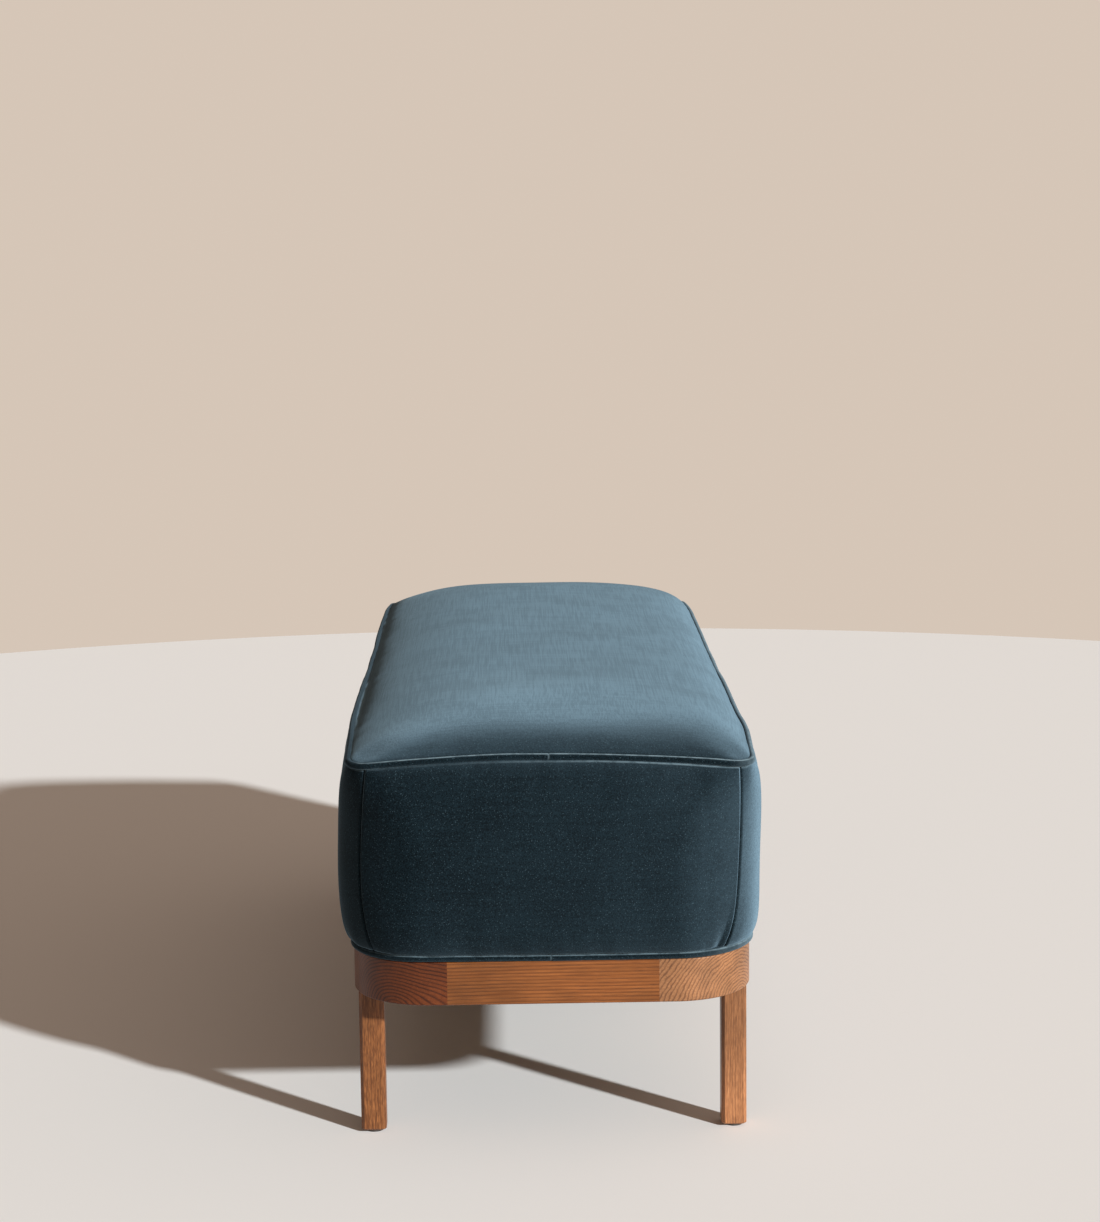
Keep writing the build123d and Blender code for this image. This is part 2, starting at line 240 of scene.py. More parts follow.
# Hearts of the logs that the rails were sawn from, below the plinth.
end_heart_below = 0.09
side_heart_below = end_heart_below * 0.8
side_heart_in = 0.03
end_rails = {"end_rail_front": (near_face + 0.035, 0.006), "end_rail_back": (half_y - 0.020, -0.02)}
for name, (heart_y, lean) in end_rails.items():
    heart = (0.0, heart_y, plinth_under - end_heart_below)
    rail_ash = stained_ash("ash_" + name, heart, (1.0, 0.0, lean), wobble=0.0014,
                           ring=ring_width * 0.90, tone=(0.96, 0.97, 1.0), rings=0.84, fade=0.26)
    finish_node(name, rail_ash)
for name, side in (("left", -1), ("right", 1)):
    heart = (side * (half_x - side_heart_in), 0.0, plinth_under - side_heart_below)
    rail_ash = stained_ash("ash_side_rail_" + name, heart, (0.01 * side, 1.0, 0.012))
    finish_node("side_rail_" + name, rail_ash)

# Corner blocks. Four thick blocks of the same ash, cut to a quarter round, so the rounding slices the
# growth rings into arches. The near left one is toned darkest, in part as painted shade on its side away
# from the sun, and the near right one palest and whitest, in part as painted light and gloss on its
# rounding.
block_ring_width = ring_width * 0.88


def finish_block(name, heart_x, heart_y, heart_rise, along, wobble, tone, rings):
    """One block's cut. Its log's heart is placed up or down from the plinth's underside."""
    heart = (heart_x, heart_y, plinth_under + heart_rise)
    block_ash = stained_ash("ash_block_" + name, heart, along, wobble, block_ring_width, tone, rings)
    finish_node("corner_block_" + name, block_ash)


finish_block("front_left", heart_x=-0.170, heart_y=-0.581, heart_rise=-0.004,
             along=(0.95, 0.28, -0.05), wobble=0.0026, tone=(0.47, 0.34, 0.32), rings=1.40)
finish_block("front_right", heart_x=0.203, heart_y=-0.552, heart_rise=-0.014,
             along=(0.62, -0.78, 0.12), wobble=0.0056, tone=(1.28, 1.78, 3.16), rings=1.02)
finish_block("back_left", heart_x=-0.190, heart_y=0.566, heart_rise=0.012,
             along=(0.9, -0.42, 0.05), wobble=0.0040, tone=(0.8, 0.8, 0.8), rings=1.10)
finish_block("back_right", heart_x=0.165, heart_y=0.581, heart_rise=0.055,
             along=(1.0, 0.33, -0.04), wobble=0.0035, tone=(0.9, 0.95, 1.0), rings=1.10)

# Legs. Four square legs of the same ash with softened edges, grain upright.
# A headless bolt in the top of each one turns into an insert in its block.
leg_grain = (-0.012, 0.008, -1.0)
leg_ring_width = ring_width * 0.62


def finish_leg(name, heart_left, heart_back, tone, streaks, fade):
    """One leg's cut. Its log's heart stands left of the leg and back from its near face. Its fade is
    painted shade at its top, under its block.
    """
    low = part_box("leg_" + name)[0]
    heart = (low.x - heart_left, low.y + heart_back, 0.0)
    leg_ash = stained_ash("ash_leg_" + name, heart, leg_grain, wobble=0.003, ring=leg_ring_width,
                          tone=tone, rings=0.45, streaks=streaks, fade=fade)
    finish_node("leg_" + name, leg_ash)


finish_leg("front_left", heart_left=0.035, heart_back=0.045,
           tone=(0.94, 1.08, 1.42), streaks=0.66, fade=0.0)
finish_leg("front_right", heart_left=0.045, heart_back=0.025,
           tone=(1.86, 2.44, 4.10), streaks=0.40, fade=0.42)
finish_leg("back_left", heart_left=0.055, heart_back=0.005,
           tone=(1, 1, 1), streaks=0.5, fade=0.1)
finish_leg("back_right", heart_left=0.065, heart_back=-0.015,
           tone=(1.1, 1.15, 1.2), streaks=0.45, fade=0.1)

# Bolts, inserts and screws. Zinc-plated steel, hidden in the wood: the legs
# hang on the bolts, and the screws run up through the plinth's rails into the
# seat frame.
zinc_dull = (0.50, 0.50, 0.47)
zinc_bright = (0.68, 0.67, 0.62)


def zinc_steel():
    material, tree, shader = new_material("zinc_steel")
    cloud = noise(tree, place_on_piece(tree), 180.0, 3.0)
    set_sockets(tree, shader, {
        "Base Color": ramp(tree, cloud, [(0.3, zinc_dull), (0.7, zinc_bright)]),
        "Roughness": scaled(tree, cloud, 0.2, 0.25),
        "Metallic": 1.0})
    return material


steel = zinc_steel()
for name in ("leg_bolts", "leg_inserts", "frame_screws"):
    finish_node(name, steel)

# Glides. A thin dark disc of moulded plastic is nailed under each foot, so
# that the end of the leg stands clear of the floor.
glide_dark = (0.030, 0.022, 0.018)
glide_pale = (0.055, 0.042, 0.034)
glide_grain_depth = 0.0002


def glide_plastic():
    material, tree, shader = new_material("glide_plastic")
    grain = noise(tree, place_on_piece(tree), 900.0)
    set_sockets(tree, shader, {
        "Base Color": ramp(tree, grain, [(0.3, glide_dark), (0.7, glide_pale)]),
        "Roughness": 0.6,
        "Normal": bumped(tree, grain, 0.3, glide_grain_depth)})
    return material


glide_finish = glide_plastic()
for name in ("front_left", "front_right", "back_left", "back_right"):
    finish_node("glide_" + name, glide_finish)

# Hidden frames. The plinth's cross rails and the whole seat frame are bare
# softwood, joined with beech dowels and closed in by the padding.
pine_light = (0.66, 0.48, 0.28)
pine_dark = (0.46, 0.30, 0.15)
beech_light = (0.62, 0.44, 0.28)
beech_dark = (0.50, 0.33, 0.20)
grain_scale_along = 18.0
grain_scale_across = 260.0
sawn_grain_depth = 0.0003


def bare_wood(name, along, light, dark):
    """Sawn wood with its grain along x, y or z."""
    material, tree, shader = new_material(name)
    scale = [grain_scale_along if way == along else grain_scale_across for way in "xyz"]
    grain = noise(tree, vector_maths(tree, "MULTIPLY", place_on_piece(tree), scale), 1.0, 3.0, 0.6)
    set_sockets(tree, shader, {
        "Base Color": ramp(tree, grain, [(0.3, dark), (0.65, light)]),
        "Roughness": 0.7,
        "Normal": bumped(tree, grain, 0.3, sawn_grain_depth)})
    return material


pine_across = bare_wood("pine_across", "x", pine_light, pine_dark)
pine_along = bare_wood("pine_along", "y", pine_light, pine_dark)
pine_upright = bare_wood("pine_upright", "z", pine_light, pine_dark)
beech = bare_wood("beech_dowel", "x", beech_light, beech_dark)
for end in ("front", "back"):
    for name in ("cross_rail_", "seat_cross_rail_", "seat_end_rail_"):
        finish_node(name + end, pine_across)
    for side in ("left", "right"):
        finish_node("seat_post_" + end + "_" + side, pine_upright)
for side in ("left", "right"):
    finish_node("seat_side_rail_" + side, pine_along)
for name in ("plinth_dowels", "seat_frame_dowels"):
    finish_node(name, beech)

# Webbing and cloths. Elastic straps cross the seat frame under a hessian
# sheet, and black spun cloth closes the seat from below. Straps and sheets
# are stapled to the frame.
thread_scale = 0.16
thread_waver = 1.5
thread_round = 0.3


def woven(name, light, dark, thread):
    """Plain woven cloth with threads both ways, a thread's width apart."""
    material, tree, shader = new_material(name)
    waves = {"Vector": place_on_piece(tree), "Scale": thread_scale / thread, "Distortion": thread_waver}
    over, under = (add_node(tree, "ShaderNodeTexWave", waves, bands_direction=way).outputs[1]
                   for way in "XY")
    weave = maths(tree, "MULTIPLY", over, under)
    set_sockets(tree, shader, {
        "Base Color": ramp(tree, weave, [(0.0, dark), (0.7, light)]),
        "Roughness": 0.9,
        "Normal": bumped(tree, weave, 0.6, thread * thread_round)})
    return material


def ripple(seed, sizes, *places, waves=9, strength=1.6):
    """Smooth random ripple between -1 and 1, the same every run. Each way across the
    cloth has a size, which is about a sixth of a wave's length."""
    rng = np.random.default_rng(seed)
    total = 0
    for _ in range(waves):
        angle = rng.uniform(0, 2 * math.pi)
        for place, size in zip(places, sizes):
            angle = angle + place / size * rng.uniform(0.5, 1.6) * rng.choice((-1, 1))
        total = total + np.sin(angle)
    return total / waves * strength


def spaced(count, edge):
    """Stations from 0 to 1 that crowd towards both ends, where the seams are."""
    t = np.linspace(0, 1, count)
    crowd = 0.5 - 0.5 * np.cos(math.pi * t)
    return (1 - edge) * t + edge * crowd


def soft_piece(name, vertices, faces, painted_seam_light_and_shade, material):
    """A smooth piece of the seat, marked at each point with its painted seam highlight, above 0, and
    painted seam shade, below 0.
    """
    mesh = bpy.data.meshes.new(name)
    mesh.from_pydata(vertices.tolist(), [], faces.tolist())
    mesh.update()
    mesh.shade_smooth()
    mesh.materials.append(material)
    marks = mesh.attributes.new("painted_seam_light_and_shade", "FLOAT", "POINT")
    marks.data.foreach_set("value", np.ascontiguousarray(painted_seam_light_and_shade, dtype=np.float32))
    piece = bpy.data.objects.new(name, mesh)
    bpy.context.scene.collection.objects.link(piece)
    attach(piece, "root")
    return piece


def closed_sheet(name, points, inner, painted_seam_light_and_shade, material):
    """A sheet closed round its rim, from an outer and an inner grid of points."""
    rows, columns, _ = points.shape
    layer = rows * columns
    index = np.arange(layer).reshape(rows, columns)
    corners = [index[:-1, :-1], index[:-1, 1:], index[1:, 1:], index[1:, :-1]]
    outer = np.stack(corners, -1).reshape(-1, 4)
    rim = np.concatenate([index[0, :-1], index[:-1, -1], index[-1, :0:-1], index[:0:-1, 0]])
    after = np.roll(rim, -1)
    edge = np.stack([after, rim, rim + layer, after + layer], -1)
    faces = np.concatenate([outer, outer[:, ::-1] + layer, edge])
    vertices = np.concatenate([points.reshape(-1, 3), inner.reshape(-1, 3)])
    return soft_piece(name, vertices, faces, np.concatenate([painted_seam_light_and_shade.ravel(), np.zeros(layer)]), material)


elastic = woven("elastic_webbing", (0.13, 0.10, 0.08), (0.03, 0.025, 0.02), 0.0012)
finish_node("webbing_straps", elastic)

cloth_thickness = 0.0006
cloth_rise = 0.0003
cloth_ripple = 0.00015
cloth_ripple_sizes = (0.03, 0.05)
cloth_bays = 3


def stapled_cloth(name, node_name, corner, rounded, sag, material):
    """A sheet stapled down along all its edges: stretched flat, with a slight sag
    between what carries it. Its corners are rounded or cut off."""
    low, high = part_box(node_name)
    wide, long = high.x, high.y
    y = long * spaced(81, 0.5)[:, None] * 2 - long
    into_corner = np.clip(np.abs(y) - (long - corner), 0, corner)
    cut = into_corner
    if rounded:
        cut = corner - np.sqrt(np.maximum(corner ** 2 - into_corner ** 2, 0))
    x = np.linspace(-1, 1, 41)[None, :] * (wide - cut)
    y = y + 0 * x
    carried = np.abs(np.sin(cloth_bays * math.pi * (y + long) / (2 * long))) ** 0.7
    z = low.z + cloth_rise + sag * (1 - carried * (1 - (x / wide) ** 2))
    z = z + cloth_ripple * ripple(91, cloth_ripple_sizes, x, y)
    under = np.stack([x, y, z], -1)
    piece = closed_sheet(name, under + np.array((0, 0, cloth_thickness)), under, 0 * x, material)
    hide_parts(node_name)


hessian = woven("hessian", (0.55, 0.42, 0.26), (0.22, 0.15, 0.08), 0.0016)
spun_cloth = woven("spun_black_cloth", (0.028, 0.028, 0.030), (0.010, 0.010, 0.011), 0.0008)
stapled_cloth("hessian_sheet", "deck_cloth", corner=0.057, rounded=True, sag=0.0,
              material=hessian)
stapled_cloth("dust_sheet", "dust_cover", corner=0.037, rounded=False, sag=0.0003,
              material=spun_cloth)

# Velvet walls. Two end panels and two side panels of short cotton velvet over
# foam. The side panels wrap round the corners to a seam near each end. All are
# pulled down tight and gathered a little.
velvet_deep = (0.0012, 0.0034, 0.0050)
velvet_lit = (0.0050, 0.0120, 0.0166)
velvet_lint = (0.043, 0.070, 0.085)
# The pale colour of the painted sheen.
velvet_painted_sheen = (0.252, 0.395, 0.505)
velvet_painted_highlight = (0.200, 0.275, 0.315)
velvet_painted_shade = (0.0008, 0.0016, 0.0022)
velvet_bloom = (0.52, 0.72, 0.85, 1.0)
warp_scale = (620.0, 11.0, 620.0)
weft_scale = (12.0, 260.0, 300.0)
tuft_scale = 760.0
nap_scale = 15.0
lint_scale = 470.0
lint_turn = (0.6, 0.5, 0.4)
pile_depth = 0.0004
broken_line_scale = 130.0

# Painted sheen: how pale the velvet is painted, from straight on to edge on, and painted shade by how
# far it turns aside, most to the left, away from the sun.
wall_sheen_rise = [(0.0, 0.0), (0.50, 0.080), (0.60, 0.125), (0.70, 0.26), (0.82, 0.49),
             (0.90, 0.55), (1.0, 0.57)]
# Painted shade: the sheen is darkened on surfaces turned to either side, most on those turned left, away
# from the sun.
painted_shade_axis = (0.5, 0.0, 0.0)
painted_shade_by_turn = greys((0.0, 0.42), (0.26, 0.68), (0.40, 0.94), (0.50, 1.0), (0.70, 0.96), (1.0, 0.90))


def weighted(tree, *parts):
    """The sum of these values, each times its share."""
    total, *others = (maths(tree, "MULTIPLY", value, share) for value, share in parts)
    for other in others:
        total = maths(tree, "ADD", total, other)
    return total


def velvet(name, lean, sheen_rise, fullness=1.0, sheen_patches=()):
    """Short cut velvet, dark from straight on. A painted sheen makes it pale edge on, reckoned on a
    normal tilted by the lean, and painted shade darkens it where it turns aside, most to the left, away
    from the sun. A pale painted highlight line runs beside a seam and painted shade lies in it. Each
    sheen patch is a middle, a reach and how much paler it paints the sheen, darker where that is below
    0."""
    material, tree, shader = new_material(name)
    place = place_on_piece(tree)
    warp, weft = (noise(tree, vector_maths(tree, "MULTIPLY", place, scale), 1.0, 2.0, 0.55)
                  for scale in (warp_scale, weft_scale))
    threads = maths(tree, "ADD", warp, weft)
    tuft = noise(tree, place, tuft_scale, 1.5, 0.6)
    nap = noise(tree, place, nap_scale)
    face = bumped(tree, weighted(tree, (threads, 0.5), (tuft, 1.0)), 0.4, pile_depth)

    tone = weighted(tree, (tuft, 0.85), (nap, 0.22), (threads, 0.18))
    colour = ramp(tree, tone, [(0.60, velvet_deep), (0.82, velvet_lit)])
    turned = add_node(tree, "ShaderNodeVectorRotate", {"Vector": place, "Rotation": lint_turn},
                      rotation_type="EULER_XYZ").outputs[0]
    specks = add_node(tree, "ShaderNodeTexVoronoi", {"Vector": turned, "Scale": lint_scale}).outputs
    lint = ramp(tree, specks["Distance"], greys((0.10, 1.0), (0.33, 0.0)))
    some = ramp(tree, specks["Color"], greys((0.25, 0.0), (0.80, 0.75)))
    colour = mix_colour(tree, maths(tree, "MULTIPLY", lint, some), colour, velvet_lint)

    leaned = vector_maths(tree, "NORMALIZE", vector_maths(tree, "ADD", face, lean))
    edge_on = add_node(tree, "ShaderNodeLayerWeight", {"Blend": 0.5, "Normal": leaned}).outputs["Facing"]
    pale = greys(*[(mark, share * fullness) for mark, share in sheen_rise])
    sheen = ramp(tree, edge_on, pale, smooth=False)
    # Painted shade on surfaces turned aside from the sun.
    turned_to_sun = maths(tree, "ADD", vector_maths(tree, "DOT_PRODUCT", face, painted_shade_axis), 0.5)
    sheen = maths(tree, "MULTIPLY", sheen, ramp(tree, turned_to_sun, painted_shade_by_turn, smooth=False))
    # Painted light and shade: patches that make the painted sheen paler or darker.
    for middle, reach, change in sheen_patches:
        away = vector_maths(tree, "DIVIDE", vector_maths(tree, "SUBTRACT", place, middle), reach)
        patch_share = ramp(tree, vector_maths(tree, "LENGTH", away), greys((0.0, 1.0), (1.0, 0.0)))
        sheen = maths(tree, "MULTIPLY", sheen, scaled(tree, patch_share, change, 1.0))
    # The painted sheen's pale colour, mottled.
    brush = weighted(tree, (nap, 0.28), (warp, 0.50), (weft, 0.22))
    painted_sheen_colour = shaded(tree, velvet_painted_sheen, ramp(tree, brush, greys((0.40, 0.87), (0.60, 1.11))))
    colour = mix_colour(tree, sheen, colour, painted_sheen_colour)

    # Painted seam highlight above 0 and painted seam shade below 0, from a mark on the mesh.
    seam = add_node(tree, "ShaderNodeAttribute", attribute_name="painted_seam_light_and_shade").outputs["Fac"]
    broken = ramp(tree, noise(tree, place, broken_line_scale), greys((0.36, 0.55), (0.60, 1.0)))
    highlight_share = maths(tree, "MULTIPLY", seam, broken, clamp=True)
    painted_shade_share = maths(tree, "MULTIPLY", seam, -1.0, clamp=True)
    colour = mix_colour(tree, highlight_share, colour, velvet_painted_highlight)
    set_sockets(tree, shader, {
        "Base Color": mix_colour(tree, painted_shade_share, colour, velvet_painted_shade),
        "Roughness": 0.95,
        "Specular IOR Level": 0.08,
        "Sheen Weight": 0.06,
        "Sheen Roughness": 0.32,
        "Sheen Tint": velvet_bloom,
        "Normal": face})
    return material


# Painted light and shade patches on the walls: paler high on the right of the near end, darker low in
# its middle.
wall_velvet = velvet("velvet", (0.37, 0.0, 0.12), wall_sheen_rise, sheen_patches=[
    ((0.135, -0.60, 0.395), (0.075, 0.06, 0.065), 0.45),
    ((-0.02, -0.60, 0.225), (0.13, 0.06, 0.055), -0.40)])

# Heights of the two seams, which the piping fills.
piping_low, piping_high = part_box("piping_top")
cord_radius = 0.0037
seam_height = (piping_low.z + piping_high.z) / 2 + 0.0032
foot_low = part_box("piping_bottom")[0]
foot_cord_radius = 0.0040
foot_height = foot_low.z + 2 * foot_cord_radius

# Rounding of the corners at the foot, and at the seam where it has drawn in.
foot_radius = 0.083
seam_radius = 0.027
rounding_start = 0.45
rounding_span = 0.55
rounding_curve = 2.2
panel_foot_inset = 0.001
panel_top_inset = 0.0055
panel_thickness = 0.007
under_cord = cord_radius * 0.35
beside_cord = cord_radius * 0.75
behind_foot = 0.0008
settling = 0.0010
settling_edge = 0.03
settling_sizes = (0.055, 0.045)

# Gathers below the top seam and above the foot: how deep they are, how far
# they reach, and the sizes of their ripple.
top_gathers = (0.0007, 0.020, (0.006, 0.05))
foot_gathers = (0.0008, 0.022, (0.007, 0.05))

# How the top seam hangs towards the corners and leans, and how the sides bow,
# as each swell's size, middle and reach.
seam_droop = 0.0100
droop_reach = 0.165
droop_curve = 1.6
droop_lean = 0.0075
droop_start_x = 0.200
droop_start_inset = 0.015
side_bow = 0.0030
end_bow = 0.0012
left_swells = [(0.0035, -0.31, 0.15), (0.0015, 0.33, 0.12)]
right_swells = [(0.0025, -0.46, 0.07), (-0.0025, 0.05, 0.22)]

# How far the padding stands out: the bulge, how squarely it turns below and
# above its middle, and where it is fuller or slacker than that.
side_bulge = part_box("cover_side_right")[1].x - half_x
turn_below = (2.6, 0.46)
turn_above = (4.0, 0.5)
end_fullness = 0.0075
end_fullness_reach = 0.16
left_fullness = 0.0024
left_slack_above = 0.0030
right_slack = 0.0038
right_slack_rise = 0.3
right_slack_reach = 0.3

# Corner seams: how far from the middle they show, how far they draw in at the
# foot, and how far they lean in towards the top.
left_seam = (0.2012, 0.0110, 0.0065)
right_seam = (0.1990, 0.0160, 0.0)
seam_groove = 0.0020
groove_width = 0.0012
foot_pull = 0.6
foot_pull_reach = 0.14
seam_ridge = 0.0022
ridge_width = 0.015

# The fold that the pull on the near right seam left beside it.
near_tuck = 0.0052
tuck_crest = 0.007
tuck_spread = 0.024
tuck_rise = 0.17
tuck_waver = 0.35
tuck_waver_sizes = (0.004, 0.5)


def half_round(wide, long, radius):
    """Length of half a rounded rectangle, from the middle of one end to the other's."""
    return 2 * (wide - radius) + math.pi * radius + 2 * (long - radius)


def outline(length, wide, long, radius):
    """Point and outward direction on a rounded rectangle, by length along it from
    the middle of the near end. Positive lengths go round by the right side."""
    side = np.where(length < 0, -1.0, 1.0)
    flat_end = wide - radius
    arc = math.pi / 2 * radius
    half = half_round(wide, long, radius)
    run = np.abs(length)
    back = run > half / 2
    run = np.where(back, half - run, run)
    turn = np.clip((run - flat_end) / radius, 0, math.pi / 2)
    x = np.where(run < flat_end, run, flat_end + radius * np.sin(turn))
    y = -long + radius - radius * np.cos(turn) + np.maximum(run - flat_end - arc, 0)
    flip = np.where(back, -1.0, 1.0)
    return side * x, flip * y, side * np.sin(turn), flip * -np.cos(turn)


def length_at(x, wide, radius):
    """Length along the outline from the middle of an end to a point at this x."""
    flat_end = wide - radius
    turn = np.arcsin(np.clip((x - flat_end) / radius, 0, 1))
    return np.where(x < flat_end, x, flat_end + radius * turn)


def swell(place, middle, reach):
    return np.exp(-((place - middle) / reach) ** 2)


def droop(x, y):
    """How far the top seam hangs below its height towards the corners."""
    from_x = np.maximum(droop_start_x - np.abs(x), 0)
    from_y = np.maximum(half_y - droop_start_inset - np.abs(y), 0)
    hang = np.clip(1 - np.hypot(from_x, from_y) / droop_reach, 0, 1) ** droop_curve
    return seam_droop * hang + droop_lean * x


def bowed(x, y):
    """The hand-pulled cover's uneven outward bow, seen from above."""
    left, right = (sum(size * swell(y, middle, reach) for size, middle, reach in swells)
                   for swells in (left_swells, right_swells))
    swell_x = side_bow * np.cos(math.pi / 2 * np.clip(y / half_y, -1, 1)) ** 0.7
    swell_x = swell_x + np.where(x < 0, left, right)
    swell_y = end_bow * np.cos(math.pi / 2 * np.clip(x / half_x, -1, 1))
    return x * (1 + swell_x / half_x), y * (1 + swell_y / half_y)


def side_swell(rise):
    """How far a padded side stands out, as a share of its bulge."""
    from_middle = np.abs(rise - 0.5) / 0.5
    below, above = (np.clip(1 - from_middle ** squareness, 0, 1) ** softness
                    for squareness, softness in (turn_below, turn_above))
    return np.where(rise < 0.5, below, above)


def seam_length(side, wide, radius, rise):
    """Length along the outline from the middle of an end to the corner seam, which
    stands almost upright on the swollen padding and draws in at the foot."""
    shows_at, foot_draw, top_lean = right_seam if side > 0 else left_seam
    shown = shows_at - foot_draw * (1 - rise) ** 6 - top_lean * rise ** 3
    flat_end = wide - radius
    lift = side_swell(rise) * side_bulge
    base = np.where(shown < flat_end, shown, (shown * radius + flat_end * lift) / (radius + lift))
    return length_at(base, wide, radius)


def gathers(seed, kind, gap, *places):
    """Small gathers that die away with the gap from what draws them in."""
    depth, reach, sizes = kind
    return depth * np.exp(-gap / reach) * ripple(seed, sizes, *places)


def side_surface(rise, length_share, first, last, seed, tuck=0.0):
    """Points of one side or end panel on rows of rising height, the way each faces, and
    how far it is from the corner seams, from the foot and from the top cord."""
    tightened = np.clip((rise - rounding_start) / rounding_span, 0, 1) ** rounding_curve
    radius = foot_radius + tightened * (seam_radius - foot_radius)
    wide, long = (half - panel_foot_inset * (1 - rise) - panel_top_inset * rise
                  for half in (half_x, half_y))
    start = first(wide, long, radius, rise)
    stop = last(wide, long, radius, rise)
    length = start + length_share * (stop - start)
    x, y, out_x, out_y = outline(length, wide, long, radius)
    x, y = bowed(x, y)

    fullness = end_fullness * np.clip(1 - (x / end_fullness_reach) ** 2, 0, 1) * np.abs(out_y)
    by_side = np.where(out_x < 0, left_fullness - left_slack_above * rise,
                       -right_slack * swell(rise, right_slack_rise, right_slack_reach))
    fullness = fullness + by_side * np.abs(out_x)
    lift = side_swell(rise) * (side_bulge + fullness)

    from_last = np.abs(stop - length)
    to_seam = np.minimum(np.abs(length - start), from_last)
    pulled = 1 + foot_pull * swell(rise, 0, foot_pull_reach)
    groove = seam_groove * pulled * swell(to_seam, 0, groove_width)
    ridge = seam_ridge * np.exp(-to_seam / ridge_width) * np.sin(math.pi * rise) ** 0.5
    fold = np.clip(from_last / tuck_crest, 0, 1)
    fold = fold * np.clip(1 - (from_last - tuck_crest) / tuck_spread, 0, 1) ** 1.5
    waver = 1 + tuck_waver * ripple(seed + 3, tuck_waver_sizes, length, rise)
    fold = tuck * fold * swell(rise, 0, tuck_rise) * waver

    top_height = seam_height - droop(x, y) - under_cord
    z = foot_height - behind_foot + rise * (top_height - foot_height + behind_foot)
    from_top = top_height - z
    from_foot = z - foot_height
    gather = gathers(seed, top_gathers, from_top, length, z)
    gather += gathers(seed + 1, foot_gathers, from_foot, length, z)
    settle = settling * ripple(seed + 2, settling_sizes, length, z)
    settle *= np.clip(from_top / settling_edge, 0, 1) * np.clip(from_foot / settling_edge, 0, 1)
    out = lift - groove + ridge - fold + gather + settle
    points = np.stack([x + out_x * out, y + out_y * out, z], -1)
    facing = np.stack([out_x, out_y, 0 * z], -1)
    return points, facing, to_seam, from_foot, from_top - beside_cord


def seam_line(gap, start, stop, soft=0.0004):
    """A soft-edged line between two distances from a seam."""
    return np.clip((gap - start) / soft, 0, 1) * np.clip((stop - gap) / soft, 0, 1)


def cover_with(name, points, inner, painted_seam_light_and_shade, material, replaced):
    """Close one velvet panel and put it in place of its solids."""
    piece = closed_sheet(name, points, inner, painted_seam_light_and_shade, material)
    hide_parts(*replaced)


# Painted lines beside the seams: pale painted highlights where the velvet parts, and painted shade where
# it closes in a seam; how strong each is, and between which distances from its seam it runs. One that
# starts well behind a seam has no edge on that side.
behind_seam = -0.01
foot_line, foot_line_span = 0.17, (behind_seam, 0.0010)
seam_painted_shade, seam_painted_shade_span = {1: 0.35, -1: 0.85}, (behind_seam, 0.0010)
side_cord_line, side_cord_line_span = 0.3, (-0.001, 0.0012)
end_cord_line, end_cord_line_span = 0.62, (-0.001, 0.0009)
end_cord_line_middle = 0.55
end_cord_line_least = 0.15
end_cord_line_reach = 0.25
end_seam_line, end_seam_line_span = 0.30, (0.0003, 0.0015)
near_right_foot_line = 0.26
near_right_foot_reach = 0.06


def make_side_panel(name, side, replaced, seed):
    rows = spaced(64, 0.75)[:, None]
    columns = spaced(320, 0.86)[None, :]

    def first(wide, long, radius, rise):
        return side * seam_length(side, wide, radius, rise)

    def last(wide, long, radius, rise):
        return side * (half_round(wide, long, radius) - seam_length(side, wide, radius, rise))

    points, facing, to_seam, from_foot, from_cord = side_surface(rows, columns, first, last, seed)
    painted_seam_light_and_shade = foot_line * seam_line(from_foot, *foot_line_span)
    painted_seam_light_and_shade = painted_seam_light_and_shade + side_cord_line * seam_line(from_cord, *side_cord_line_span)
    painted_seam_light_and_shade = painted_seam_light_and_shade - seam_painted_shade[side] * seam_line(to_seam, *seam_painted_shade_span)
    if side < 0:
        points, facing, painted_seam_light_and_shade = points[:, ::-1], facing[:, ::-1], painted_seam_light_and_shade[:, ::-1]
    cover_with(name, points, points - facing * panel_thickness, painted_seam_light_and_shade, wall_velvet, replaced)


def make_end_panel(name, end, replaced, seed):
    rows = spaced(72, 0.75)[:, None]
    columns = spaced(180, 0.80)[None, :]

    def first(wide, long, radius, rise):
        return -seam_length(-1, wide, radius, rise)

    def last(wide, long, radius, rise):
        return seam_length(1, wide, radius, rise)

    points, facing, to_seam, from_foot, from_cord = side_surface(
        rows, columns, first, last, seed, near_tuck)
    on_right = points[..., 0] > 0
    # Painted highlight along the near right seam, strongest at the foot.
    near_right_painted_highlight = near_right_foot_line * np.exp(-from_foot / near_right_foot_reach) * on_right
    at_seams = (end_seam_line + near_right_painted_highlight) * seam_line(to_seam, *end_seam_line_span)
    at_foot = foot_line * seam_line(from_foot, *foot_line_span)
    # The painted highlight along the top cord grows stronger to the right, on the sun's side.
    rightwards = np.clip(end_cord_line_middle + points[..., 0] / end_cord_line_reach,
                         end_cord_line_least, 1)
    at_cord = end_cord_line * rightwards * seam_line(from_cord, *end_cord_line_span)
    painted_seam_light_and_shade = np.maximum(np.maximum(at_seams, at_foot), at_cord)
    if end > 0:
        turned_round = np.array((1, -1, 1))
        points, facing = (points * turned_round)[:, ::-1], (facing * turned_round)[:, ::-1]
        painted_seam_light_and_shade = painted_seam_light_and_shade[:, ::-1]
    cover_with(name, points, points - facing * panel_thickness, painted_seam_light_and_shade, wall_velvet, replaced)


make_side_panel("velvet_side_right", 1, ["cover_side_right", "side_foam_right"], 21)
make_side_panel("velvet_side_left", -1, ["cover_side_left", "side_foam_left"], 31)
make_end_panel("velvet_end_front", -1, ["cover_end_front", "end_foam_front"], 41)
make_end_panel("velvet_end_back", 1, ["cover_end_back", "end_foam_back"], 51)

